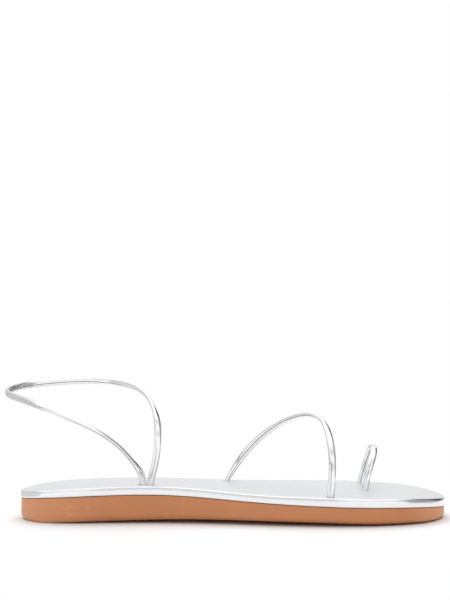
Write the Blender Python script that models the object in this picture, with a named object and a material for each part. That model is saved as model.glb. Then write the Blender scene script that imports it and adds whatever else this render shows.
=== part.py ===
"""Flat slingback sandal for a right foot: moulded sole, padded footbed and three folded leather straps.

Sizes are millimetres and become metres when a mesh is made. x runs from the back of the heel to the toe,
y from the outer (little toe) edge to the inner edge, and z up from the floor.
"""
import math

import bmesh
import bpy
import numpy as np

MM = 0.001

# Sole, measured along the foot
LENGTH = 252.0
SEAM_GAP = 0.3            # between touching pieces
OUTLINE_STEPS = 36        # from heel to toe, on each side

# One row for each cross-section of the last: station from the heel's back, middle and width of the plan
# outline, height of the seam between sole and footbed, thickness of the footbed at its outer edge, how much
# thicker (below zero: thinner) it is at the inner edge, and how far in the sole's bottom edge is rounded
STATION, MIDDLE, WIDTH, SEAM, PAD, LIFT, EDGE = range(7)
SECTIONS = np.array([
    (0.0, -1.3, 0.0, 12.2, 4.5, 0.3, 2.4),
    (12.0, -1.4, 43.0, 13.6, 4.5, 0.3, 0.8),
    (30.0, -1.2, 55.2, 14.8, 4.8, 0.1, 2.4),
    (60.0, -1.7, 53.0, 15.9, 5.3, -0.5, 2.9),
    (90.0, -2.8, 51.0, 15.8, 5.3, -0.1, 2.8),
    (120.0, -2.9, 58.4, 13.9, 4.8, 1.2, 2.8),
    (150.0, -0.8, 75.0, 12.1, 4.9, 1.2, 3.4),
    (180.0, 0.9, 85.6, 10.9, 5.5, 0.9, 4.2),
    (205.0, 1.0, 83.6, 10.2, 5.2, 1.4, 4.2),
    (225.0, 2.2, 73.2, 9.6, 5.3, 1.2, 3.8),
    (240.0, 4.0, 54.6, 8.5, 5.0, 1.4, 2.4),
    (LENGTH, 5.9, 0.0, 6.8, 5.1, 1.4, 1.8),
])
LIFT_SPAN = 86.0          # width over which the footbed's thickness changes

# Underside: the heel and the forefoot are flat on the floor, with the arch raised between them
HEEL_FLAT_END = 34.0
FOREFOOT_FLAT_START = 206.0
FOREFOOT_FLAT_END = 234.0
ARCH_RISE = 1.8
TOE_SPRING = 0.6

# Side of the sole: set back a little under the footbed's band, then rounded under
SIDE_SETBACK = 0.5
SIDE_BULGE = 0.15
EDGE_ROUND_SHARE = 0.28   # height of the bottom edge's rounding, as a share of the side's height
EDGE_STAND = 0.22         # height of the bottom edge over the flat underside, as a share of its rounding
EDGE_STEPS = 5
FLAT_INSET = 13.0         # from the outline to the flat underside

# Footbed: upright side band with rounded edges, then a soft shoulder to a slightly crowned top
ROLL_STEPS = 9
ROLL_SQUARENESS = 3.0     # exponent of the band's superellipse
ROLL_TUCK = 0.7           # how far the band turns in at the seam
SHOULDER = 2.5            # how far in the band's curve ends on the top
CROWN = 0.5
CAP_COLUMNS = 6

# Straps: folded leather, wide face away from the foot but for the ankle loop's twisted near strand
STRAP_WIDTH = 4.1
STRAP_THICKNESS = 2.6
STRAP_SIDES = 12
STRAP_SQUARENESS = 2.2    # exponent of the section's superellipse
SLOT_DEPTH = 14.0

# Routes of the straps' centre lines, a row for each place where a strap bends: x, y, z, and the way its wide
# face looks, as a heading in plan from the toe towards the inner side and an upward tilt, both in degrees.
# The first and last two rows of a route lie in the footbed's slots.
HEADING, TILT = 3, 4

ANKLE_SLOT_X = 75.4
ANKLE_SLOT_Y = -16.0
ANKLE_LEG_SPACING = STRAP_WIDTH + SEAM_GAP
ANKLE_REAR_X = ANKLE_SLOT_X - ANKLE_LEG_SPACING / 2
ANKLE_FRONT_X = ANKLE_SLOT_X + ANKLE_LEG_SPACING / 2
ANKLE_ROUTE = [
    (ANKLE_REAR_X, ANKLE_SLOT_Y, 17.0, -90, 0),
    (ANKLE_REAR_X, ANKLE_SLOT_Y, 21.5, -90, 0),
    (72.1, -17.8, 27.5, -78, 35),
    (67.9, -21.0, 34.5, -85, 64),
    (61.5, -24.5, 42.3, -88, 74),
    (45.2, -29.0, 54.4, -92, 74),
    (18.5, -25.0, 65.5, -110, 48),
    (3.5, -15.0, 70.3, -132, 15),
    (-8.5, 0.0, 74.1, 188, 0),
    (-2.0, 18.0, 77.3, 142, 0),
    (10.5, 26.0, 78.7, 108, 0),
    (38.5, 29.0, 80.1, 84, 5),
    (53.5, 23.0, 79.3, 58, 25),
    (68.8, 8.0, 75.8, 35, 46),
    (78.6, -9.0, 66.6, -8, 38),
    (82.0, -20.0, 54.5, -72, 16),
    (81.7, -21.5, 41.5, -87, 0),
    (79.3, -18.0, 29.0, -90, 0),
    (ANKLE_FRONT_X, ANKLE_SLOT_Y, 21.5, -90, 0),
    (ANKLE_FRONT_X, ANKLE_SLOT_Y, 17.0, -90, 0),
]

INSTEP_ROUTE = [
    (180.4, -35.5, 11.9, -90, 0),
    (180.5, -35.5, 16.5, -90, 0),
    (181.1, -36.5, 26.0, -90, 0),
    (181.5, -34.5, 36.7, -88, 22),
    (180.8, -27.0, 47.7, -78, 42),
    (177.4, -14.5, 58.2, -26, 52),
    (169.3, -2.0, 60.8, 20, 78),
    (155.4, 10.5, 55.4, 85, 52),
    (140.7, 18.5, 44.4, 78, 22),
    (127.9, 20.5, 29.1, 46, 0),
    (122.0, 17.5, 19.5, 20, 0),
    (119.8, 16.3, 15.4, 20, 0),
]

TOE_ROUTE = [
    (203.2, 0.3, 11.3, -90, 0),
    (203.8, 0.0, 15.4, -90, 0),
    (205.6, 0.0, 24.8, -90, 8),
    (209.4, 6.0, 34.9, -90, 48),
    (211.2, 18.0, 40.4, 90, 88),
    (210.0, 33.0, 33.8, 90, 46),
    (207.3, 37.5, 22.2, 90, 8),
    (205.5, 36.5, 15.5, 90, 0),
    (204.6, 36.2, 11.3, 90, 0),
]

# Name, route, sections along the strap
STRAPS = [
    ("ankle_sling", ANKLE_ROUTE, 64),
    ("instep_strap", INSTEP_ROUTE, 44),
    ("toe_ring", TOE_ROUTE, 34),
]

# Finishes
TAN = (0.53, 0.22, 0.10)
TAN_ROUGHNESS = 0.55
SILVER = (0.80, 0.81, 0.83)
SILVER_ROUGHNESS = 0.30
SILVER_METALLIC = 0.85
SHARP_ANGLE = math.radians(50)


# Curves

def cubic(knots, values, where):
    """Natural cubic spline through values at knots, read at where."""
    knots = np.asarray(knots, float)
    values = np.asarray(values, float)
    step = np.diff(knots)
    slope = (np.diff(values, axis=0).T / step).T
    size = len(knots)
    system = np.eye(size)
    right = np.zeros_like(values)
    for i in range(1, size - 1):
        system[i, i - 1:i + 2] = step[i - 1], 2 * (step[i - 1] + step[i]), step[i]
        right[i] = 6 * (slope[i] - slope[i - 1])
    bend = np.linalg.solve(system, right)
    where = np.clip(np.asarray(where, float), knots[0], knots[-1])
    i = np.clip(np.searchsorted(knots, where) - 1, 0, size - 2)
    h = step[i]
    a = (knots[i + 1] - where) / h
    b = 1 - a
    if values.ndim == 2:
        h, a, b = h[:, None], a[:, None], b[:, None]
    return (a * values[i] + b * values[i + 1]
            + ((a ** 3 - a) * bend[i] + (b ** 3 - b) * bend[i + 1]) * h ** 2 / 6)


def section(column, x):
    return cubic(SECTIONS[:, STATION], SECTIONS[:, column], x)


def half_width(x):
    """Half the plan width; its square is smooth, so heel and toe come out round."""
    square = cubic(SECTIONS[:, STATION], SECTIONS[:, WIDTH] ** 2, x)
    return np.sqrt(np.maximum(square, 0.0)) / 2


def underside(plan):
    """Height of the sole's underside: flat heel and forefoot, raised arch, toe spring."""
    x = plan[:, 0]
    along = np.clip((x - HEEL_FLAT_END) / (FOREFOOT_FLAT_START - HEEL_FLAT_END), 0, 1)
    spring = np.clip((x - FOREFOOT_FLAT_END) / (LENGTH - FOREFOOT_FLAT_END), 0, 1)
    return ARCH_RISE * np.sin(math.pi * along) + TOE_SPRING * spring ** 2


def seam(plan):
    return section(SEAM, plan[:, 0])


def footbed_top(plan):
    """Height of the footbed's top, which leans a little across the foot."""
    x, y = plan.T
    across = np.clip(0.5 + (y - section(MIDDLE, x)) / LIFT_SPAN, 0, 1)
    return seam(plan) + section(PAD, x) + section(LIFT, x) * across


def plan_outline():
    """Plan outline, heel to toe along the outer edge and back along the inner, with inward normals."""
    turn = np.linspace(0, math.pi, OUTLINE_STEPS + 1)
    x = LENGTH / 2 * (1 - np.cos(turn))
    outer = np.stack([x, section(MIDDLE, x) - half_width(x)], axis=1)
    inner = np.stack([x, section(MIDDLE, x) + half_width(x)], axis=1)[-2:0:-1]
    points = np.concatenate([outer, inner])
    along = np.roll(points, -1, axis=0) - np.roll(points, 1, axis=0)
    normals = np.stack([-along[:, 1], along[:, 0]], axis=1)
    return points, normals / np.linalg.norm(normals, axis=1, keepdims=True)


OUTLINE, INWARD = plan_outline()


def ring(inset, height):
    """One loop of points round the shoe: the plan outline moved inwards, at height(plan)."""
    plan = OUTLINE + INWARD * np.reshape(inset, (-1, 1))
    return np.column_stack([plan, height(plan)])


# Meshes

def new_object(name, vertices, faces, material, collection):
    mesh = bpy.data.meshes.new(name)
    mesh.from_pydata([tuple(v) for v in np.asarray(vertices) * MM], [], faces)
    work = bmesh.new()
    work.from_mesh(mesh)
    bmesh.ops.recalc_face_normals(work, faces=work.faces)
    work.to_mesh(mesh)
    work.free()
    mesh.shade_smooth()
    mesh.set_sharp_from_angle(angle=SHARP_ANGLE)
    if material:
        mesh.materials.append(material)
    shape = bpy.data.objects.new(name, mesh)
    collection.objects.link(shape)
    return shape


def cap(vertices, faces, first, height, crown):
    """Close a ring with rungs from its outer to its inner side; first is the ring's first vertex."""
    count = 2 * OUTLINE_STEPS
    rungs = []
    for i in range(OUTLINE_STEPS + 1):
        start, end = first + i, first + (count - i) % count
        if start == end:
            rungs.append([start] * (CAP_COLUMNS + 1))
            continue
        rung = [start]
        for c in range(1, CAP_COLUMNS):
            share = c / CAP_COLUMNS
            point = (1 - share) * vertices[start] + share * vertices[end]
            rise = crown * 4 * share * (1 - share) * math.sin(math.pi * i / OUTLINE_STEPS)
            point[2] = height(point[None, :2])[0] + rise
            rung.append(len(vertices))
            vertices.append(point)
        rungs.append(rung + [end])
    for low, high in zip(rungs, rungs[1:]):
        for c in range(CAP_COLUMNS):
            corners = [low[c], low[c + 1], high[c + 1], high[c]]
            faces.append(list(dict.fromkeys(corners)))


def loft(name, rings, bottom, top, crown, material, collection):
    """Closed body from a stack of rings, capped at heights bottom(plan) and top(plan)."""
    count = 2 * OUTLINE_STEPS
    vertices = [point for loop in rings for point in loop]
    faces = []
    for k in range(len(rings) - 1):
        for i in range(count):
            j = (i + 1) % count
            faces.append([k * count + i, k * count + j, (k + 1) * count + j, (k + 1) * count + i])
    cap(vertices, faces, 0, bottom, 0.0)
    cap(vertices, faces, (len(rings) - 1) * count, top, crown)
    return new_object(name, vertices, faces, material, collection)


def route_rows(route):
    """Rows of position and outward direction, from a route's headings and tilts."""
    route = np.asarray(route, float)
    heading, tilt = np.radians(route[:, HEADING]), np.radians(route[:, TILT])
    outward = (np.cos(heading) * np.cos(tilt), np.sin(heading) * np.cos(tilt), np.sin(tilt))
    return np.column_stack([route[:, :3], *outward])


def even_stations(rows, count):
    """Even stations on a smooth curve through the rows."""
    lengths = np.linalg.norm(np.diff(rows[:, :3], axis=0), axis=1)
    knots = np.concatenate([[0], np.cumsum(lengths)])
    return cubic(knots, rows, np.linspace(0, knots[-1], count))


def sweep(name, stations, growth, material, collection):
    """Flattened tube along stations, wider and thicker than a strap by growth."""
    points, outward = stations[:, :3], stations[:, 3:]
    along = np.gradient(points, axis=0)
    along /= np.linalg.norm(along, axis=1, keepdims=True)
    outward = outward - np.sum(outward * along, axis=1, keepdims=True) * along
    outward /= np.linalg.norm(outward, axis=1, keepdims=True)
    across = np.cross(along, outward)

    turn = np.linspace(0, 2 * math.pi, STRAP_SIDES, endpoint=False)
    power = 2 / STRAP_SQUARENESS
    side = np.sign(np.cos(turn)) * np.abs(np.cos(turn)) ** power * (STRAP_WIDTH + growth) / 2
    face = np.sign(np.sin(turn)) * np.abs(np.sin(turn)) ** power * (STRAP_THICKNESS + growth) / 2
    vertices = []
    for centre, wide, out in zip(points, across, outward):
        vertices.extend(centre + np.outer(side, wide) + np.outer(face, out))
    faces = []
    for k in range(len(points) - 1):
        for i in range(STRAP_SIDES):
            j = (i + 1) % STRAP_SIDES
            low, high = k * STRAP_SIDES, (k + 1) * STRAP_SIDES
            faces.append([low + i, low + j, high + j, high + i])
    last = (len(points) - 1) * STRAP_SIDES
    faces.append(list(range(STRAP_SIDES)))
    faces.append(list(range(last, last + STRAP_SIDES)))
    return new_object(name, vertices, faces, material, collection)


# Pieces

def outsole(material, collection):
    edge = section(EDGE, OUTLINE[:, 0])

    def side_height(share):
        def height(plan):
            low = underside(plan) + EDGE_STAND * edge
            return low + share * (seam(plan) - low)
        return height

    rings = [ring(FLAT_INSET, underside)]
    for k in range(EDGE_STEPS + 1):
        turn = math.pi / 2 * k / EDGE_STEPS
        inset = SIDE_SETBACK - SIDE_BULGE + edge * (1 - math.sin(turn))
        rings.append(ring(inset, side_height(EDGE_ROUND_SHARE * (1 - math.cos(turn)))))
    rings.append(ring(SIDE_SETBACK, seam))
    return loft("outsole", rings, underside, seam, 0.0, material, collection)


def footbed(material, collection):
    def level(share):
        return lambda plan: (1 - share) * (seam(plan) + SEAM_GAP) + share * footbed_top(plan)

    rings = []
    power = 2 / ROLL_SQUARENESS
    for k in range(ROLL_STEPS + 1):
        turn = math.pi * (k / ROLL_STEPS - 0.5)
        depth = ROLL_TUCK if turn < 0 else SHOULDER
        inset = depth * (1 - abs(math.cos(turn)) ** power)
        share = (1 + math.copysign(abs(math.sin(turn)) ** power, turn)) / 2
        rings.append(ring(inset, level(share)))
    return loft("footbed", rings, level(0), level(1), CROWN, material, collection)


def slot(name, end, inner, target, collection):
    """Cut a strap's slot through the footbed, along the line from the strap's end row to the next row."""
    step = np.append(inner[:3] - end[:3], (0, 0, 0))
    step *= SLOT_DEPTH / np.linalg.norm(step)
    stations = np.array([end - step / 2, end, end + step])
    cutter = sweep(name, stations, 2 * SEAM_GAP, None, collection)
    cutter.hide_render = True
    cutter.display_type = 'WIRE'
    cut = target.modifiers.new(name, 'BOOLEAN')
    cut.operation = 'DIFFERENCE'
    cut.solver = 'EXACT'
    cut.object = cutter
    return cutter


def silver_leather(name):
    return plain_material(name, SILVER, SILVER_ROUGHNESS, SILVER_METALLIC)


def plain_material(name, colour, roughness, metallic):
    material = bpy.data.materials.new(name)
    material.use_nodes = True
    shader = material.node_tree.nodes["Principled BSDF"]
    shader.inputs["Base Color"].default_value = (*colour, 1.0)
    shader.inputs["Roughness"].default_value = roughness
    shader.inputs["Metallic"].default_value = metallic
    return material


def new_collection(name):
    collection = bpy.data.collections.new(name)
    bpy.context.scene.collection.children.link(collection)
    return collection


def centre_on_origin(root, pieces):
    """Move the parent so that the sandal's box stands centred on the origin."""
    corners = np.array([v.co for piece in pieces for v in piece.data.vertices])
    middle = (corners.min(axis=0) + corners.max(axis=0)) / 2
    root.location = (-middle[0], -middle[1], 0.0)


def main():
    for item in list(bpy.data.objects):
        bpy.data.objects.remove(item, do_unlink=True)
    sandal = new_collection("slingback_sandal")
    cutters = new_collection("slot_cutters")

    sole = outsole(plain_material("outsole", TAN, TAN_ROUGHNESS, 0.0), sandal)
    bed = footbed(silver_leather("footbed"), sandal)
    straps = []
    slots = []
    for name, route, count in STRAPS:
        rows = route_rows(route)
        straps.append(sweep(name, even_stations(rows, count), 0.0, silver_leather(name), sandal))
        slots.append(slot(name + "_first_slot", rows[0], rows[1], bed, cutters))
        slots.append(slot(name + "_last_slot", rows[-1], rows[-2], bed, cutters))

    root = bpy.data.objects.new("sandal_root", None)
    sandal.objects.link(root)
    for piece in [sole, bed, *straps, *slots]:
        piece.parent = root
    centre_on_origin(root, [sole, bed, *straps])
    bpy.context.view_layer.update()


main()
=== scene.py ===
"""Looks of the flat slingback sandal: its dressed pieces, materials, floor, light and camera.

Sizes are millimetres, measured as on the solids: x from the back of the heel to the toe, y from the outer
(little toe) edge to the inner edge, z up from the floor. They become metres in the frame when a mesh is made.
"""

import math

import bmesh
import bpy
import numpy as np
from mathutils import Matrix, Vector


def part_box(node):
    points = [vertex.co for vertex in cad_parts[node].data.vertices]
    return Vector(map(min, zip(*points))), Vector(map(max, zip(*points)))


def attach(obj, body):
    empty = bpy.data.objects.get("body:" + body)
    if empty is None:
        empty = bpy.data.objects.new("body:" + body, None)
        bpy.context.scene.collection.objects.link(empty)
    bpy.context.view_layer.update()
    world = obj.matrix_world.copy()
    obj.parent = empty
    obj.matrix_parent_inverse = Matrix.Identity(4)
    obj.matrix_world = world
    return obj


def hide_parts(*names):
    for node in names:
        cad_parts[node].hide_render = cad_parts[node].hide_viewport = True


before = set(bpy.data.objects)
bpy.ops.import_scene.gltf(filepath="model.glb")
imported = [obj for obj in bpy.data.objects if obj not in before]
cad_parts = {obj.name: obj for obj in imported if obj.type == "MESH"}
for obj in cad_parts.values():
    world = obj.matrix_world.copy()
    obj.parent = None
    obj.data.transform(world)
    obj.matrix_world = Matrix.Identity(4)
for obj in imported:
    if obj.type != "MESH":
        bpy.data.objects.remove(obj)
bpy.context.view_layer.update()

MM = 0.001

# Cross-sections of the last, as on the solids: station from the heel's back, middle and width of the plan
# outline, height of the seam between sole and footbed, thickness of the footbed at its outer edge, how much
# thicker (below zero: thinner) it is at the inner edge, and how far in the sole's bottom edge is rounded
LENGTH = 252.0
SEAM_GAP = 0.3
STATION, MIDDLE, WIDTH, SEAM, PAD, LIFT, EDGE = range(7)
SECTIONS = np.array([
    (0.0, -1.3, 0.0, 12.2, 4.5, 0.3, 2.4),
    (12.0, -1.4, 43.0, 13.6, 4.5, 0.3, 0.8),
    (30.0, -1.2, 55.2, 14.8, 4.8, 0.1, 2.4),
    (60.0, -1.7, 53.0, 15.9, 5.3, -0.5, 2.9),
    (90.0, -2.8, 51.0, 15.8, 5.3, -0.1, 2.8),
    (120.0, -2.9, 58.4, 13.9, 4.8, 1.2, 2.8),
    (150.0, -0.8, 75.0, 12.1, 4.9, 1.2, 3.4),
    (180.0, 0.9, 85.6, 10.9, 5.5, 0.9, 4.2),
    (205.0, 1.0, 83.6, 10.2, 5.2, 1.4, 4.2),
    (225.0, 2.2, 73.2, 9.6, 5.3, 1.2, 3.8),
    (240.0, 4.0, 54.6, 8.5, 5.0, 1.4, 2.4),
    (LENGTH, 5.9, 0.0, 6.8, 5.1, 1.4, 1.8),
])
LIFT_SPAN = 86.0
SOLID_OUTLINE_STEPS = 36
OUTLINE_STEPS = 240

# Underside
HEEL_FLAT_END = 34.0
FOREFOOT_FLAT_START = 206.0
FOREFOOT_FLAT_END = 234.0
ARCH_RISE = 1.8
TOE_SPRING = 0.6

# Side of the sole
SIDE_SETBACK = 0.5
SIDE_BULGE = 0.15
EDGE_ROUND_SHARE = 0.28
EDGE_STAND = 0.22
EDGE_STEPS = 14
FLAT_INSET = 13.0
FLAT_STEPS = 4
SIDE_STEPS = 8
LIP_ROUND = 0.15          # rounding of the sole's upper edge, which leaves a fine groove under the band
LIP_STEPS = 4
SOLE_COLUMNS = 30

# Footbed
ROLL_STEPS = 32
ROLL_SQUARENESS = 3.0
ROLL_TUCK = 0.7
SHOULDER = 2.5
CROWN = 0.5
TOP_COLUMNS = 72
DIMPLE_DEPTH = 0.55       # leather drawn down where a strap goes in
DIMPLE_RADIUS = 4.2
TOP_SHARE = 0.8           # of the footbed's thickness, above which it is pressed

# Straps
STRAP_WIDTH = 4.1
STRAP_THICKNESS = 2.6
STRAP_SQUARENESS = 2.2
STRAP_SIDES = 72
STATION_STEP = 0.4
SECTION_SAMPLES = 1440
SLOT_DEPTH = 14.0
SLOT_SIDES = 40
SEAM_DEPTH = 0.34
SEAM_HALF_WIDTH = 0.22
SEAM_LAYER = "seam"
CREASE_LAYER = "crease"

# Routes of the straps, a row for each knot: x, y, z, then heading and tilt of the outer face in degrees
HEADING, TILT = 3, 4

ANKLE_SLOT_X = 75.4
ANKLE_SLOT_Y = -16.0
ANKLE_LEG_SPACING = STRAP_WIDTH + SEAM_GAP
ANKLE_REAR_X = ANKLE_SLOT_X - ANKLE_LEG_SPACING / 2
ANKLE_FRONT_X = ANKLE_SLOT_X + ANKLE_LEG_SPACING / 2
ANKLE_ROUTE = [
    (ANKLE_REAR_X, ANKLE_SLOT_Y, 17.0, -90, 0),
    (ANKLE_REAR_X, ANKLE_SLOT_Y, 21.5, -90, 0),
    (72.1, -17.8, 27.5, -78, 35),
    (67.9, -21.0, 34.5, -85, 64),
    (61.5, -24.5, 42.3, -88, 74),
    (45.2, -29.0, 54.4, -92, 74),
    (18.5, -25.0, 65.5, -110, 48),
    (3.5, -15.0, 70.3, -132, 15),
    (-8.5, 0.0, 74.1, 188, 0),
    (-2.0, 18.0, 77.3, 142, 0),
    (10.5, 26.0, 78.7, 108, 0),
    (38.5, 29.0, 80.1, 84, 5),
    (53.5, 23.0, 79.3, 58, 25),
    (68.8, 8.0, 75.8, 35, 46),
    (78.6, -9.0, 66.6, -8, 38),
    (82.0, -20.0, 54.5, -72, 16),
    (81.7, -21.5, 41.5, -87, 0),
    (79.3, -18.0, 29.0, -90, 0),
    (ANKLE_FRONT_X, ANKLE_SLOT_Y, 21.5, -90, 0),
    (ANKLE_FRONT_X, ANKLE_SLOT_Y, 17.0, -90, 0),
]

INSTEP_ROUTE = [
    (180.4, -35.5, 11.9, -90, 0),
    (180.5, -35.5, 16.5, -90, 0),
    (181.1, -36.5, 26.0, -90, 0),
    (181.5, -34.5, 36.7, -88, 22),
    (180.8, -27.0, 47.7, -78, 42),
    (177.4, -14.5, 58.2, -26, 52),
    (169.3, -2.0, 60.8, 20, 78),
    (155.4, 10.5, 55.4, 85, 52),
    (140.7, 18.5, 44.4, 78, 22),
    (127.9, 20.5, 29.1, 46, 0),
    (122.0, 17.5, 19.5, 20, 0),
    (119.8, 16.3, 15.4, 20, 0),
]

TOE_ROUTE = [
    (203.2, 0.3, 11.3, -90, 0),
    (203.8, 0.0, 15.4, -90, 0),
    (205.6, 0.0, 24.8, -90, 8),
    (209.4, 6.0, 34.9, -90, 48),
    (211.2, 18.0, 40.4, 90, 88),
    (210.0, 33.0, 33.8, 90, 46),
    (207.3, 37.5, 22.2, 90, 8),
    (205.5, 36.5, 15.5, 90, 0),
    (204.6, 36.2, 11.3, 90, 0),
]

ROUTES = {"ankle_sling": ANKLE_ROUTE, "instep_strap": INSTEP_ROUTE, "toe_ring": TOE_ROUTE}

# Where the fold's seam runs: distance along the strap, and way from the middle of its foot side
SEAM_RUNS = {
    "ankle_sling": [(0, 2.4), (28, 2.4), (50, 2.4), (72, 2.2), (92, 0.35), (300, 0.35)],
    "instep_strap": [(0, -0.5), (45, -0.5), (66, 2.1), (90, 1.5), (118, -0.2), (126, -0.5), (140, -2.6)],
    "toe_ring": [(0, 0.3), (80, 0.3)],
}

# Creases of the straps, a row for each: distance along the strap, way round it from the middle of its outer
# face, heading from the strap's own direction in degrees, half length, half breadth, depth
CREASES = {
    "ankle_sling": [
        (72.0, 0.6, 3, 12.0, 0.25, 0.08),
        (66.0, 2.2, -2, 10.0, 0.25, 0.08),
        (84.5, 0.7, 70, 1.4, 0.50, 0.06),
        (88.0, 1.8, 125, 1.5, 0.50, 0.08),
        (91.5, 0.9, 50, 1.8, 0.50, 0.08),
        (95.0, 1.4, 115, 1.6, 0.50, 0.07),
        (99.0, 0.5, 60, 1.5, 0.50, 0.06),
        (130.0, -4.0, 35, 2.0, 0.30, 0.20),
        (134.0, -4.4, 8, 8.0, 0.30, 0.25),
        (141.0, -4.0, -10, 5.0, 0.25, 0.20),
        (146.0, -4.3, 12, 3.0, 0.30, 0.06),
        (267.5, -0.8, 4, 4.0, 0.30, 0.10),
        (280.0, -0.3, 0, 9.0, 0.24, 0.16),
    ],
    "instep_strap": [
        (15.0, 0.55, 0, 10.0, 0.30, 0.17),
        (22.5, 1.0, 25, 2.5, 0.30, 0.10),
        (22.5, -0.3, -25, 2.0, 0.30, 0.08),
    ],
    "toe_ring": [
        (15.0, 1.15, 0, 10.0, 0.30, 0.06),
        (17.0, 0.1, 0, 9.0, 0.24, 0.15),
    ],
}

# Camera: looking level at the outer side, from a little above the straps
CAMERA_X = 120.9
CAMERA_Y = -700.0
CAMERA_Z = 99.0
IMAGE_HEIGHT_PX = 600
FOCAL_PX = 1177.8
HORIZON_BELOW_MIDDLE_PX = 50.3
SENSOR = 36.0

# Studio: brightness of the room by direction. Azimuth is 0 towards the camera and 90 towards the toe,
# elevation is up from the horizon, both in degrees; each wall is given by its middle and half extent in both,
# the softness of its edges and its level
ROOM_BACK = 0.90
ROOM_BELOW = 1.20
BELOW_EDGE = (-1.0, -5.0)
AZIMUTH, AZIMUTH_HALF, ELEVATION, ELEVATION_HALF, SOFTNESS, LEVEL = range(6)
WALLS = [
    (5, 60, 5, 45, 8, 1.10),         # front
    (5, 60, 19, 8, 6, 0.85),         # front, dimmer strip
    (0, 70, 57, 7, 6, 0.78),         # front, strip high up
    (-115, 50, -10, 45, 12, 0.74),   # heel's side
    (-75, 40, 33, 5, 5, 0.35),       # heel's side, dark strip
    (90, 30, 14, 33, 8, 0.38),       # toe's side
    (131, 15, 14, 36, 10, 0.06),     # toe's side, dark and farther back
    (152, 30, -14, 16, 8, 0.45),     # back, low, towards the toe
    (-170, 15, -14, 16, 8, 0.45),    # back, low, towards the heel
]
OVERHEAD = 1.3
OVERHEAD_EDGE = (0.58, 0.78)         # upward part of the direction, from walls to ceiling
OVERHEAD_SIDE_EDGE = (0.62, 0.45)    # part of the direction towards the toe, where the ceiling ends
KEY_PLACE = (0.0, 900.0, 1560.0)
KEY_SIZE = 1800.0
KEY_POWER = 18.0
FLOOR_MIDDLE = (42.0, 0.0)
FLOOR_HALF = (208.0, 170.0)
FLOOR_CORNER = 60.0
FLOOR_CORNER_STEPS = 12
FLOOR_WHITE = (0.81, 0.81, 0.81)
FLOOR_ROUGHNESS = 0.9
FLOOR_SPECULAR = 0.1

# Patterns of the finishes: size of their spots, and detail
CLOUD = (9.0, 3.0)
RIPPLE = (1.6, 2.0)
WRINKLE = (1.0, 3.0)
STREAK = (0.8, 2.0)
SCRATCH = (1.1, 1.0)
MOTTLE = (14.0, 4.0)
PORES = (0.6, 3.0)
GRAIN_SIZE = 0.5
SPREAD = (0.3, 0.7)                # levels of a pattern, from its dark to its light spots
DRAWN_OUT = (0.3, 1.0, 1.0)        # scale of streaks and scratches, long along the foot
RIPPLE_DEPTH = 0.006
WRINKLE_DEPTH = 0.10
GRAIN_DEPTH = 0.004
PORE_DEPTH = 0.03

# Finish of the sole
TAN_LIGHT = (0.60, 0.238, 0.098)
TAN_DARK = (0.48, 0.182, 0.066)
# painted rim light on the sole's heel and toe ends
TAN_PAINTED_RIM_LIGHT = (0.67, 0.305, 0.145)
TAN_SCUFFED = (0.74, 0.42, 0.24)
TAN_ROUGHNESS = (0.44, 0.56)
PAINTED_RIM_LIGHT_HEEL = (60.0, -20.0)          # where the sole is painted paler towards its ends, as painted rim light
PAINTED_RIM_LIGHT_TOE = (222.0, 248.0)
SCUFF_START = (26.0, 31.0)         # stretch of the outer side with faint scratches, along the foot
SCUFF_END = (50.0, 42.0)
SCUFF_OUTER = (0.0, -10.0)         # across it
SCUFF_LOW = (2.0, 5.0)             # and up from the floor
SCUFF_HIGH = (12.5, 9.0)
SCRATCH_SLANT = math.radians(30)
SCRATCH_EDGE = (0.60, 0.68)        # level of the pattern, from plain to scratched
SCRATCH_SHARE = 0.45

# Finish of the foil on straps and footbed
SILVER = (0.90, 0.905, 0.915)
SILVER_DULL = (0.86, 0.865, 0.88)
STRAP_ROUGHNESS = (0.10, 0.15)
RAW_EDGE = (0.16, 0.16, 0.17)
RAW_START = (0.2, 0.8)             # share of the seam, from foil to the leather's raw edge
# painted shade in the straps' creases
CREASE_PAINTED_SHADE = (0.34, 0.345, 0.355)
CREASE_SHADE_EDGE = (0.01, 0.11)         # depth of a crease, from bright foil to painted shade
CREASE_SHADE_SHARE = 0.8
CRUMPLED_EDGE = (9.0, 1.0)         # towards the back of the ankle loop, where its foil is crumpled and dull
CRUMPLED_SLANT = 0.3               # farther along the outer strand than along the inner one
CRUMPLED_SILVER = (0.74, 0.745, 0.755)
CRUMPLED_ROUGHNESS = 0.45
FOOTBED_SILVER = (0.86, 0.865, 0.875)
FOOTBED_DULL = (0.82, 0.825, 0.835)
TOP_ROUGHNESS = (0.40, 0.46)
BAND_ROUGHNESS = (0.17, 0.23)
TOP_FACING = (0.80, 0.97)          # upward part of the normal, from band to top
CRINKLE_AND_REFLECTION_START = (38.0, 52.0)       # stretch of the band where the foil is crinkled and a dark reflection is painted
CRINKLE_AND_REFLECTION_END = (192.0, 180.0)
CRINKLE_AND_REFLECTION_LOW = (-0.05, 0.12)        # upward part of the normal, over the band's upper bend
CRINKLE_AND_REFLECTION_HIGH = (0.72, 0.45)
# grey of the painted dark reflection along the band's upper bend
PAINTED_REFLECTION_GREY = (0.60, 0.605, 0.615)
PAINTED_STREAK_EDGE = (0.3, 0.6)           # level of the pattern, from faint to full painted reflection streaks
PAINTED_STREAK_SHARE = (0.5, 0.8)

SHARP_ANGLE = math.radians(50)     # between faces, above which an edge isn't smoothed


# Curves

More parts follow.
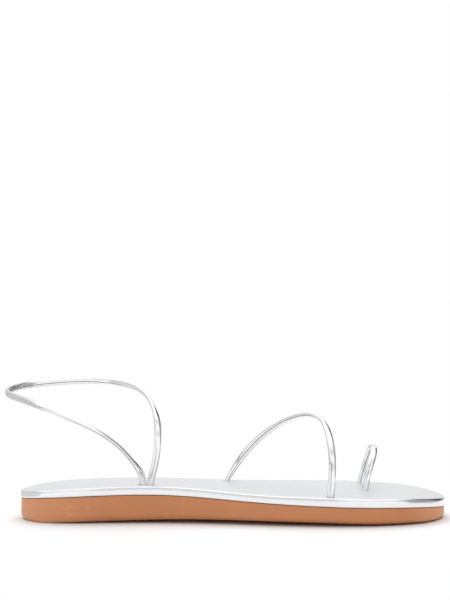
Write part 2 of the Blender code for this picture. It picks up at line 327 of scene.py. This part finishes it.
def cubic(knots, values, where):
    """Natural cubic spline through values at knots, read at where."""
    knots = np.asarray(knots, float)
    values = np.asarray(values, float)
    step = np.diff(knots)
    slope = (np.diff(values, axis=0).T / step).T
    size = len(knots)
    system = np.eye(size)
    right = np.zeros_like(values)
    for i in range(1, size - 1):
        system[i, i - 1:i + 2] = step[i - 1], 2 * (step[i - 1] + step[i]), step[i]
        right[i] = 6 * (slope[i] - slope[i - 1])
    bend = np.linalg.solve(system, right)
    where = np.clip(np.asarray(where, float), knots[0], knots[-1])
    i = np.clip(np.searchsorted(knots, where) - 1, 0, size - 2)
    h = step[i]
    a = (knots[i + 1] - where) / h
    b = 1 - a
    if values.ndim == 2:
        h, a, b = h[:, None], a[:, None], b[:, None]
    return (a * values[i] + b * values[i + 1]
            + ((a ** 3 - a) * bend[i] + (b ** 3 - b) * bend[i + 1]) * h ** 2 / 6)


def section(column, x):
    """One column of the sections, read smoothly along the foot."""
    return cubic(SECTIONS[:, STATION], SECTIONS[:, column], x)


def half_width(x):
    """Half the plan width; its square is smooth, so heel and toe come out round."""
    square = cubic(SECTIONS[:, STATION], SECTIONS[:, WIDTH] ** 2, x)
    return np.sqrt(np.maximum(square, 0.0)) / 2


def underside(plan):
    """Height of the sole's underside: flat below heel and ball, raised at the arch, with some toe spring."""
    x = plan[:, 0]
    along = np.clip((x - HEEL_FLAT_END) / (FOREFOOT_FLAT_START - HEEL_FLAT_END), 0, 1)
    spring = np.clip((x - FOREFOOT_FLAT_END) / (LENGTH - FOREFOOT_FLAT_END), 0, 1)
    return ARCH_RISE * np.sin(math.pi * along) + TOE_SPRING * spring ** 2


def seam(plan):
    """Height of the seam between sole and footbed."""
    return section(SEAM, plan[:, 0])


def footbed_top(plan):
    """Height of the footbed's top, which leans a little across the foot."""
    x, y = plan.T
    across = np.clip(0.5 + (y - section(MIDDLE, x)) / LIFT_SPAN, 0, 1)
    return seam(plan) + section(PAD, x) + section(LIFT, x) * across


def pad_level(share):
    """Height of the footbed at a share of its thickness."""
    return lambda plan: (1 - share) * (seam(plan) + SEAM_GAP) + share * footbed_top(plan)


def plan_outline(steps):
    """Plan outline, heel to toe along the outer edge and back along the inner, with inward normals."""
    turn = np.linspace(0, math.pi, steps + 1)
    x = LENGTH / 2 * (1 - np.cos(turn))
    outer = np.stack([x, section(MIDDLE, x) - half_width(x)], axis=1)
    inner = np.stack([x, section(MIDDLE, x) + half_width(x)], axis=1)[-2:0:-1]
    points = np.concatenate([outer, inner])
    along = np.roll(points, -1, axis=0) - np.roll(points, 1, axis=0)
    normals = np.stack([-along[:, 1], along[:, 0]], axis=1)
    return points, normals / np.linalg.norm(normals, axis=1, keepdims=True)


OUTLINE, INWARD = plan_outline(OUTLINE_STEPS)


def ring(inset, height):
    """One loop of points round the shoe: the plan outline moved inwards, at height(plan)."""
    plan = OUTLINE + INWARD * np.reshape(inset, (-1, 1))
    return np.column_stack([plan, height(plan)])


def frame_shift():
    """From these sizes to the frame, worked out from the solid footbed's low corner."""
    low = np.array(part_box("footbed")[0]) / MM
    return np.append(low[:2] - plan_outline(SOLID_OUTLINE_STEPS)[0].min(axis=0), 0.0)


SHIFT = frame_shift()


def metres(edge, shift=0.0):
    """An edge in the frame's metres."""
    return [(value + shift) * MM for value in edge]


# Meshes

def new_mesh(name, vertices, faces):
    """A mesh in the frame, with its faces turned outwards."""
    mesh = bpy.data.meshes.new(name)
    mesh.from_pydata(((np.asarray(vertices) + SHIFT) * MM).tolist(), [], faces)
    work = bmesh.new()
    work.from_mesh(mesh)
    bmesh.ops.recalc_face_normals(work, faces=work.faces)
    work.to_mesh(mesh)
    work.free()
    return mesh


def smooth(mesh):
    """Smooth shading, except across sharp edges."""
    mesh.shade_smooth()
    mesh.set_sharp_from_angle(angle=SHARP_ANGLE)


def new_piece(name, mesh, material, node):
    """A shown piece that stands for a solid of the frame."""
    smooth(mesh)
    mesh.materials.append(material)
    piece = bpy.data.objects.new(name, mesh)
    bpy.context.scene.collection.objects.link(piece)
    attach(piece, "root")
    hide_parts(node)
    return piece


def close_ring(vertices, faces, first, columns, height, crown):
    """Close a ring, whose first vertex is given, with rungs from its outer to its inner side."""
    count = len(OUTLINE)
    rung = np.arange(OUTLINE_STEPS + 1)
    loop = np.array(vertices[first:first + count])
    share = np.linspace(0, 1, columns + 1)[None, :, None]
    grid = (1 - share) * loop[rung][:, None] + share * loop[(count - rung) % count][:, None]
    swell = np.sin(math.pi * rung / OUTLINE_STEPS)[:, None]
    rise = crown * 4 * share[..., 0] * (1 - share[..., 0]) * swell
    grid[..., 2] = height(grid[..., :2].reshape(-1, 2)).reshape(grid.shape[:2]) + rise

    index = np.zeros(grid.shape[:2], int)
    index[:, 0] = first + rung
    index[:, -1] = first + (count - rung) % count
    index[0], index[-1] = first, first + OUTLINE_STEPS
    inside = grid[1:-1, 1:-1].reshape(-1, 3)
    index[1:-1, 1:-1] = (len(vertices) + np.arange(len(inside))).reshape(OUTLINE_STEPS - 1, columns - 1)
    vertices.extend(inside)
    for i in range(OUTLINE_STEPS):
        for c in range(columns):
            corners = [index[i, c], index[i, c + 1], index[i + 1, c + 1], index[i + 1, c]]
            faces.append([int(v) for v in dict.fromkeys(corners)])


def loft(rings, bottom, top, columns, crown):
    """Vertices and faces of a closed body from a stack of rings, capped at bottom(plan) and top(plan)."""
    count = len(OUTLINE)
    vertices = [point for loop in rings for point in loop]
    faces = []
    for k in range(len(rings) - 1):
        for i in range(count):
            j = (i + 1) % count
            faces.append([k * count + i, k * count + j, (k + 1) * count + j, (k + 1) * count + i])
    close_ring(vertices, faces, 0, columns, bottom, 0.0)
    close_ring(vertices, faces, (len(rings) - 1) * count, columns, top, crown)
    return np.array(vertices), faces


def route_rows(route):
    """Rows of position and outward direction, from a route's headings and tilts."""
    route = np.asarray(route, float)
    heading, tilt = np.radians(route[:, HEADING]), np.radians(route[:, TILT])
    outward = (np.cos(heading) * np.cos(tilt), np.sin(heading) * np.cos(tilt), np.sin(tilt))
    return np.column_stack([route[:, :3], *outward])


def even_stations(rows):
    """Close, even stations on a smooth curve through the rows, and their distances along it."""
    lengths = np.linalg.norm(np.diff(rows[:, :3], axis=0), axis=1)
    knots = np.concatenate([[0], np.cumsum(lengths)])
    along = np.linspace(0, knots[-1], round(knots[-1] / STATION_STEP))
    return cubic(knots, rows, along), along


def strap_section(sides, growth):
    """Even points round a strap: across it, out from it, both parts of the normal, way round from outside."""
    turn = np.linspace(0, 2 * math.pi, SECTION_SAMPLES + 1) + math.pi / 2
    power = 2 / STRAP_SQUARENESS
    half_across, half_out = (STRAP_WIDTH + growth) / 2, (STRAP_THICKNESS + growth) / 2
    across = half_across * np.sign(np.cos(turn)) * np.abs(np.cos(turn)) ** power
    out = half_out * np.sign(np.sin(turn)) * np.abs(np.sin(turn)) ** power
    lengths = np.hypot(np.diff(across), np.diff(out))
    around = np.concatenate([[0], np.cumsum(lengths)])
    even = np.linspace(0, around[-1], sides, endpoint=False)
    across, out = np.interp(even, around, across), np.interp(even, around, out)
    steep = STRAP_SQUARENESS - 1
    normal_across = np.sign(across) * (np.abs(across) / half_across) ** steep / half_across
    normal_out = np.sign(out) * (np.abs(out) / half_out) ** steep / half_out
    size = np.hypot(normal_across, normal_out)
    way = np.where(even > around[-1] / 2, even - around[-1], even)
    return across, out, normal_across / size, normal_out / size, way


def strap_axes(stations):
    """Directions across and out of a strap at its stations."""
    along = np.gradient(stations[:, :3], axis=0)
    along /= np.linalg.norm(along, axis=1, keepdims=True)
    outward = stations[:, 3:] - np.sum(stations[:, 3:] * along, axis=1, keepdims=True) * along
    outward /= np.linalg.norm(outward, axis=1, keepdims=True)
    return np.cross(along, outward), outward


def tube(stations, shape, relief):
    """Vertices and faces of a flattened tube; relief moves each point out along its normal."""
    across, out, normal_across, normal_out, _ = shape
    wide, outward = strap_axes(stations)
    sides = len(across)
    flat = across + relief * normal_across
    high = out + relief * normal_out
    vertices = stations[:, None, :3] + flat[..., None] * wide[:, None] + high[..., None] * outward[:, None]
    faces = []
    for k in range(len(stations) - 1):
        low, top = k * sides, (k + 1) * sides
        for i in range(sides):
            j = (i + 1) % sides
            faces.append([low + i, low + j, top + j, top + i])
    last = (len(stations) - 1) * sides
    faces.append(list(range(sides)))
    faces.append(list(range(last, last + sides)))
    return vertices.reshape(-1, 3), faces


# Node graphs

class Graph:
    """Short calls that build a node tree; a value is a socket or a constant."""
    MIX_SHARE = 0
    NUMBER_A, NUMBER_B, NUMBER_MIX = 2, 3, 0
    COLOUR_A, COLOUR_B, COLOUR_MIX = 6, 7, 2

    def __init__(self, tree):
        self.nodes = tree.nodes
        self.links = tree.links

    def feed(self, item, inputs):
        """Link or set the inputs of a node."""
        for name, value in inputs.items():
            if isinstance(value, bpy.types.NodeSocket):
                self.links.new(value, item.inputs[name])
            else:
                item.inputs[name].default_value = value

    def node(self, kind, inputs=None, **settings):
        item = self.nodes.new(kind)
        for name, value in settings.items():
            setattr(item, name, value)
        self.feed(item, inputs or {})
        return item

    def math(self, operation, first, second=0.0):
        return self.node("ShaderNodeMath", {0: first, 1: second}, operation=operation).outputs[0]

    def product(self, first, *others):
        """All the values multiplied."""
        for other in others:
            first = self.math('MULTIPLY', first, other)
        return first

    def parts(self, vector):
        """x, y and z of a vector."""
        return self.node("ShaderNodeSeparateXYZ", {0: vector}).outputs

    def layer(self, name):
        """Values of one of the mesh's own layers."""
        return self.node("ShaderNodeAttribute", attribute_name=name).outputs["Fac"]

    def blend(self, value, edge, low=0.0, high=1.0):
        """From low to high as value goes from the edge's first number to its second."""
        if edge[0] > edge[1]:
            edge, low, high = edge[::-1], high, low
        inputs = {"Value": value, "From Min": edge[0], "From Max": edge[1], "To Min": low, "To Max": high}
        return self.node("ShaderNodeMapRange", inputs, interpolation_type='SMOOTHSTEP').outputs["Result"]

    def mix(self, share, first, second):
        """Mix of two colours."""
        inputs = {self.MIX_SHARE: share, self.COLOUR_A: first, self.COLOUR_B: second}
        return self.node("ShaderNodeMix", inputs, data_type='RGBA').outputs[self.COLOUR_MIX]

    def mix_number(self, share, first, second):
        inputs = {self.MIX_SHARE: share, self.NUMBER_A: first, self.NUMBER_B: second}
        return self.node("ShaderNodeMix", inputs, data_type='FLOAT').outputs[self.NUMBER_MIX]

    def drawn_out(self, place, turn=0.0):
        """Place for a pattern that is long along the foot, turned in the foot's upright plane."""
        inputs = {"Vector": place, "Rotation": (0.0, turn, 0.0), "Scale": DRAWN_OUT}
        return self.node("ShaderNodeMapping", inputs).outputs[0]

    def noise(self, place, size, detail):
        """Cloudy pattern whose spots are about size across."""
        inputs = {"Vector": place, "Scale": 1 / (size * MM), "Detail": detail}
        return self.node("ShaderNodeTexNoise", inputs).outputs[0]

    def cells(self, place, size):
        """Cell pattern whose cells are about size across."""
        inputs = {"Vector": place, "Scale": 1 / (size * MM)}
        return self.node("ShaderNodeTexVoronoi", inputs).outputs["Distance"]

    def bump(self, height, depth, normal=None):
        inputs = {"Height": height, "Distance": depth * MM, "Strength": 1.0}
        if normal:
            inputs["Normal"] = normal
        return self.node("ShaderNodeBump", inputs).outputs[0]


def grey(level):
    """A grey colour of that level."""
    return (level, level, level, 1.0)


def new_material(name):
    """A material with its graph, its shader and the place of each point in the frame."""
    material = bpy.data.materials.new(name)
    material.use_nodes = True
    graph = Graph(material.node_tree)
    shader = material.node_tree.nodes["Principled BSDF"]
    place = graph.node("ShaderNodeTexCoord").outputs["Object"]
    return material, graph, shader, place


# Materials

def strap_foil(name):
    """Smooth foil, drawn tight over a folded strap, with the leather's raw edges in the seam and painted
    shade in its creases.
    """
    material, graph, shader, place = new_material(name)
    cloud = graph.noise(place, *CLOUD)
    x, y, _ = graph.parts(place)
    slanted = graph.math('ADD', x, graph.product(y, CRUMPLED_SLANT))
    crumpled = graph.blend(slanted, metres(CRUMPLED_EDGE, SHIFT[0]))
    # painted shade: darker where a crease is deeper
    creased = graph.blend(graph.layer(CREASE_LAYER), CREASE_SHADE_EDGE, 0.0, CREASE_SHADE_SHARE)
    raw = graph.blend(graph.layer(SEAM_LAYER), RAW_START)
    foil = graph.mix(cloud, (*SILVER_DULL, 1.0), (*SILVER, 1.0))
    foil = graph.mix(crumpled, foil, (*CRUMPLED_SILVER, 1.0))
    foil = graph.mix(creased, foil, (*CREASE_PAINTED_SHADE, 1.0))
    gloss = graph.blend(cloud, SPREAD, *STRAP_ROUGHNESS)
    graph.feed(shader, {
        "Base Color": graph.mix(raw, foil, (*RAW_EDGE, 1.0)),
        "Metallic": graph.blend(raw, (1.0, 0.0)),
        "Roughness": graph.mix_number(crumpled, gloss, CRUMPLED_ROUGHNESS),
        "Normal": graph.bump(graph.noise(place, *RIPPLE), RIPPLE_DEPTH),
    })
    return material


def footbed_foil(name):
    """Satin foil on top of the footbed, glossier and crinkled on its band, with a painted dark reflection
    streaking the band's upper bend.
    """
    material, graph, shader, place = new_material(name)
    cloud = graph.noise(place, *CLOUD)
    x, _, _ = graph.parts(place)
    _, _, upward = graph.parts(graph.node("ShaderNodeNewGeometry").outputs["Normal"])
    top = graph.blend(upward, TOP_FACING)
    satin = graph.blend(cloud, SPREAD, *TOP_ROUGHNESS)
    gloss = graph.blend(cloud, SPREAD, *BAND_ROUGHNESS)
    # over the band's upper bend: real crinkles in the bump, and a painted dark reflection in the colour
    crinkled = graph.product(
        *(graph.blend(x, metres(edge, SHIFT[0])) for edge in (CRINKLE_AND_REFLECTION_START, CRINKLE_AND_REFLECTION_END)),
        *(graph.blend(upward, edge) for edge in (CRINKLE_AND_REFLECTION_LOW, CRINKLE_AND_REFLECTION_HIGH)))
    # streaks of the painted dark reflection
    painted_streak = graph.blend(graph.noise(graph.drawn_out(place), *STREAK), PAINTED_STREAK_EDGE, *PAINTED_STREAK_SHARE)
    foil = graph.mix(cloud, (*FOOTBED_DULL, 1.0), (*FOOTBED_SILVER, 1.0))
    grain = graph.bump(graph.cells(place, GRAIN_SIZE), GRAIN_DEPTH)
    wrinkle = graph.product(crinkled, graph.noise(place, *WRINKLE))
    graph.feed(shader, {
        "Base Color": graph.mix(graph.product(crinkled, painted_streak), foil, (*PAINTED_REFLECTION_GREY, 1.0)),
        "Metallic": 1.0,
        "Roughness": graph.mix_number(top, gloss, satin),
        "Normal": graph.bump(wrinkle, WRINKLE_DEPTH, grain),
    })
    return material


def scuffed(graph, place, colour):
    """Colour with a few faint slanting scratches low on the heel's outer side."""
    x, y, z = graph.parts(place)
    spot = graph.product(
        graph.blend(y, metres(SCUFF_OUTER)),
        *(graph.blend(x, metres(edge, SHIFT[0])) for edge in (SCUFF_START, SCUFF_END)),
        *(graph.blend(z, metres(edge)) for edge in (SCUFF_LOW, SCUFF_HIGH)))
    pattern = graph.noise(graph.drawn_out(place, SCRATCH_SLANT), *SCRATCH)
    scratch = graph.blend(pattern, SCRATCH_EDGE, 0.0, SCRATCH_SHARE)
    return graph.mix(graph.product(spot, scratch), colour, (*TAN_SCUFFED, 1.0))


def tan_sole(name):
    """Moulded sole with a faint mottle and fine pores, painted paler towards its ends as painted rim light.
    """
    material, graph, shader, place = new_material(name)
    mottle = graph.noise(place, *MOTTLE)
    x, _, _ = graph.parts(place)
    # painted rim light: the sole's ends are painted paler, where side light catches them
    heel, toe = [graph.blend(x, metres(edge, SHIFT[0])) for edge in (PAINTED_RIM_LIGHT_HEEL, PAINTED_RIM_LIGHT_TOE)]
    colour = graph.mix(mottle, (*TAN_DARK, 1.0), (*TAN_LIGHT, 1.0))
    colour = graph.mix(graph.math('MAXIMUM', heel, toe), colour, (*TAN_PAINTED_RIM_LIGHT, 1.0))
    graph.feed(shader, {
        "Base Color": scuffed(graph, place, colour),
        "Roughness": graph.blend(mottle, SPREAD, *TAN_ROUGHNESS),
        "Normal": graph.bump(graph.noise(place, *PORES), PORE_DEPTH),
    })
    return material


def white_floor(name):
    """Matt white sheet."""
    material, graph, shader, _ = new_material(name)
    graph.feed(shader, {
        "Base Color": (*FLOOR_WHITE, 1.0),
        "Roughness": FLOOR_ROUGHNESS,
        "Specular IOR Level": FLOOR_SPECULAR,
    })
    return material


# Pieces

def outsole():
    """Moulded sole: rounded bottom edge, slightly bulging side and rounded lip."""
    edge = section(EDGE, OUTLINE[:, 0])
    low_inset = SIDE_SETBACK - SIDE_BULGE + edge

    def foot(share):
        """Height of the underside at a share of the way from its flat part to the bottom edge."""
        return lambda plan: underside(plan) + share * EDGE_STAND * edge

    def side_level(share):
        """Height of the side at a share of it."""
        return lambda plan: (1 - share) * foot(1)(plan) + share * seam(plan)

    rings = []
    for k in range(FLAT_STEPS):
        share = k / FLAT_STEPS
        rings.append(ring(FLAT_INSET + share * (low_inset - FLAT_INSET), foot(share)))
    for k in range(EDGE_STEPS + 1):
        turn = math.pi / 2 * k / EDGE_STEPS
        inset = SIDE_SETBACK - SIDE_BULGE + edge * (1 - math.sin(turn))
        rings.append(ring(inset, side_level(EDGE_ROUND_SHARE * (1 - math.cos(turn)))))
    for k in range(1, SIDE_STEPS + 1):
        up = k / SIDE_STEPS
        share = EDGE_ROUND_SHARE + up * (1 - EDGE_ROUND_SHARE)
        lip = LIP_ROUND * (k == SIDE_STEPS)
        rings.append(ring(SIDE_SETBACK - SIDE_BULGE * (1 - up),
                          lambda plan, s=share, d=lip: side_level(s)(plan) - d))
    for k in range(1, LIP_STEPS + 1):
        turn = math.pi / 2 * k / LIP_STEPS
        inset = SIDE_SETBACK + LIP_ROUND * (1 - math.cos(turn))
        rings.append(ring(inset, lambda plan, d=LIP_ROUND * (1 - math.sin(turn)): seam(plan) - d))
    vertices, faces = loft(rings, underside, seam, SOLE_COLUMNS, 0.0)
    mesh = new_mesh("sole_body", vertices, faces)
    new_piece("sole_body", mesh, tan_sole("tan_sole"), "outsole")


def strap_ends():
    """Last two route rows at each end of each strap, as pairs of end row and the row above it."""
    for route in ROUTES.values():
        rows = route_rows(route)
        yield rows[0], rows[1]
        yield rows[-1], rows[-2]


def press_dimples(vertices):
    """Draw the footbed's top down round each strap end."""
    upper = vertices[:, 2] > pad_level(TOP_SHARE)(vertices[:, :2])
    for _, above in strap_ends():
        distance = np.hypot(vertices[:, 0] - above[0], vertices[:, 1] - above[1])
        vertices[upper, 2] -= DIMPLE_DEPTH * np.exp(-(distance[upper] / DIMPLE_RADIUS) ** 2)


def cut_slots(target):
    """Cut a slot through the footbed for each strap end."""
    shape = strap_section(SLOT_SIDES, 2 * SEAM_GAP)
    cutters = []
    for end, above in strap_ends():
        step = np.append(above[:3] - end[:3], (0, 0, 0))
        step *= SLOT_DEPTH / np.linalg.norm(step)
        stations = np.array([end - step / 2, end, end + step])
        mesh = new_mesh("slot_cutter", *tube(stations, shape, 0.0))
        cutter = bpy.data.objects.new("slot_cutter", mesh)
        bpy.context.scene.collection.objects.link(cutter)
        cutters.append(cutter)
        cut = target.modifiers.new("slot", 'BOOLEAN')
        cut.operation = 'DIFFERENCE'
        cut.solver = 'EXACT'
        cut.object = cutter
    cut_target = target.evaluated_get(bpy.context.evaluated_depsgraph_get())
    cut_mesh = bpy.data.meshes.new_from_object(cut_target)
    target.modifiers.clear()
    target.data = cut_mesh
    smooth(cut_mesh)
    for cutter in cutters:
        bpy.data.objects.remove(cutter, do_unlink=True)


def footbed():
    """Padded insole: upright band, rounded edges and domed top, pressed in and slotted for the straps."""
    rings = []
    power = 2 / ROLL_SQUARENESS
    for k in range(ROLL_STEPS + 1):
        turn = math.pi * (k / ROLL_STEPS - 0.5)
        depth = ROLL_TUCK if turn < 0 else SHOULDER
        inset = depth * (1 - abs(math.cos(turn)) ** power)
        share = (1 + math.copysign(abs(math.sin(turn)) ** power, turn)) / 2
        rings.append(ring(inset, pad_level(share)))
    vertices, faces = loft(rings, pad_level(0), pad_level(1), TOP_COLUMNS, CROWN)
    press_dimples(vertices)
    mesh = new_mesh("footbed_pad", vertices, faces)
    piece = new_piece("footbed_pad", mesh, footbed_foil("footbed_foil"), "footbed")
    cut_slots(piece)


def seam_share(along, way, run):
    """Share of the fold's seam, where the strap's edges meet: 1 along its middle."""
    foot_side = np.abs(way).max()
    offset = np.interp(along, *zip(*run))[:, None]
    distance = np.abs(foot_side - np.abs(way)) * np.sign(way) - offset
    return np.exp(-(distance / SEAM_HALF_WIDTH) ** 2)


def crease(along, way, distance, round_way, heading, half_length, half_breadth, depth):
    """Depth of one soft trough in a strap's surface, at all its stations and sides."""
    girth = 2 * np.abs(way).max()
    ahead = (along - distance)[:, None]
    aside = ((way - round_way + girth / 2) % girth - girth / 2)[None, :]
    turn = math.radians(heading)
    length = ahead * math.cos(turn) + aside * math.sin(turn)
    breadth = aside * math.cos(turn) - ahead * math.sin(turn)
    return depth * np.exp(-(breadth / half_breadth) ** 2 - (length / half_length) ** 4)


def strap(name):
    """Folded strap with its seam and creases."""
    stations, along = even_stations(route_rows(ROUTES[name]))
    shape = strap_section(STRAP_SIDES, 0.0)
    way = shape[-1]
    seam_line = seam_share(along, way, SEAM_RUNS[name])
    creased = sum(crease(along, way, *row) for row in CREASES[name])
    mesh = new_mesh(name + "_leather", *tube(stations, shape, -SEAM_DEPTH * seam_line - creased))
    for layer, values in ((SEAM_LAYER, seam_line), (CREASE_LAYER, creased)):
        mesh.attributes.new(layer, 'FLOAT', 'POINT').data.foreach_set("value", values.ravel())
    new_piece(name + "_leather", mesh, strap_foil(name + "_foil"), name)


# Stage

def floor():
    """Sheet with round corners."""
    vertices = []
    for quarter in range(4):
        diagonal = math.pi / 2 * (quarter + 0.5)
        side = np.sign((math.cos(diagonal), math.sin(diagonal)))
        corner = np.array(FLOOR_MIDDLE) + side * (np.array(FLOOR_HALF) - FLOOR_CORNER)
        for k in range(FLOOR_CORNER_STEPS + 1):
            turn = math.pi / 2 * (quarter + k / FLOOR_CORNER_STEPS)
            x, y = corner + FLOOR_CORNER * np.array((math.cos(turn), math.sin(turn)))
            vertices.append((x * MM, y * MM, 0.0))
    mesh = bpy.data.meshes.new("floor")
    mesh.from_pydata(vertices, [], [list(range(len(vertices)))])
    mesh.materials.append(white_floor("white_floor"))
    ground = bpy.data.objects.new("floor", mesh)
    bpy.context.scene.collection.objects.link(ground)


def studio():
    """White studio: bright overhead and on the floor, dark at the toe's side, dim at the heel's side."""
    world = bpy.data.worlds.new("studio")
    bpy.context.scene.world = world
    world.use_nodes = True
    graph = Graph(world.node_tree)
    backdrop = world.node_tree.nodes["Background"]
    x, y, z = graph.parts(graph.node("ShaderNodeTexCoord").outputs["Generated"])
    azimuth = graph.math('ARCTAN2', x, graph.product(y, -1.0))
    elevation = graph.math('ARCSINE', z)

    def within(angle, middle, half, softness):
        """1 where the angle lies within half of the middle, 0 outside, with a soft edge."""
        away = graph.math('ABSOLUTE', graph.math('SUBTRACT', angle, math.radians(middle)))
        edge = (math.radians(half + softness / 2), math.radians(half - softness / 2))
        return graph.blend(away, edge)

    below = graph.blend(elevation, [math.radians(e) for e in BELOW_EDGE])
    level = graph.mix(below, grey(ROOM_BACK), grey(ROOM_BELOW))
    overhead = graph.product(graph.blend(z, OVERHEAD_EDGE), graph.blend(x, OVERHEAD_SIDE_EDGE))
    level = graph.mix(overhead, level, grey(OVERHEAD))
    for wall in WALLS:
        across = within(azimuth, wall[AZIMUTH], wall[AZIMUTH_HALF], wall[SOFTNESS])
        up = within(elevation, wall[ELEVATION], wall[ELEVATION_HALF], wall[SOFTNESS])
        level = graph.mix(graph.product(across, up), level, grey(wall[LEVEL]))
    seen = graph.node("ShaderNodeLightPath").outputs["Is Camera Ray"]
    graph.feed(backdrop, {"Color": graph.mix(seen, level, grey(1.0))})
    bpy.context.scene.view_settings.view_transform = 'Standard'


def key_light():
    """Large soft lamp above and behind, which draws the shadow to the front and isn't seen in the foil."""
    data = bpy.data.lights.new("key", 'AREA')
    data.size = KEY_SIZE * MM
    data.energy = KEY_POWER
    lamp = bpy.data.objects.new("key", data)
    lamp.location = Vector(KEY_PLACE) * MM
    lamp.rotation_euler = (-lamp.location).to_track_quat('-Z', 'Y').to_euler()
    lamp.visible_glossy = False
    bpy.context.scene.collection.objects.link(lamp)


def camera():
    """The photo's view."""
    data = bpy.data.cameras.new("camera")
    data.sensor_width = SENSOR
    data.lens = SENSOR * FOCAL_PX / IMAGE_HEIGHT_PX
    view = bpy.data.objects.new("camera", data)
    bpy.context.scene.collection.objects.link(view)
    view.location = (np.array((CAMERA_X, CAMERA_Y, CAMERA_Z)) + SHIFT) * MM
    view.rotation_euler = (math.pi / 2, 0.0, 0.0)
    data.shift_y = HORIZON_BELOW_MIDDLE_PX / IMAGE_HEIGHT_PX
    bpy.context.scene.camera = view


outsole()
footbed()
for strap_name in ROUTES:
    strap(strap_name)
floor()
studio()
key_light()
camera()
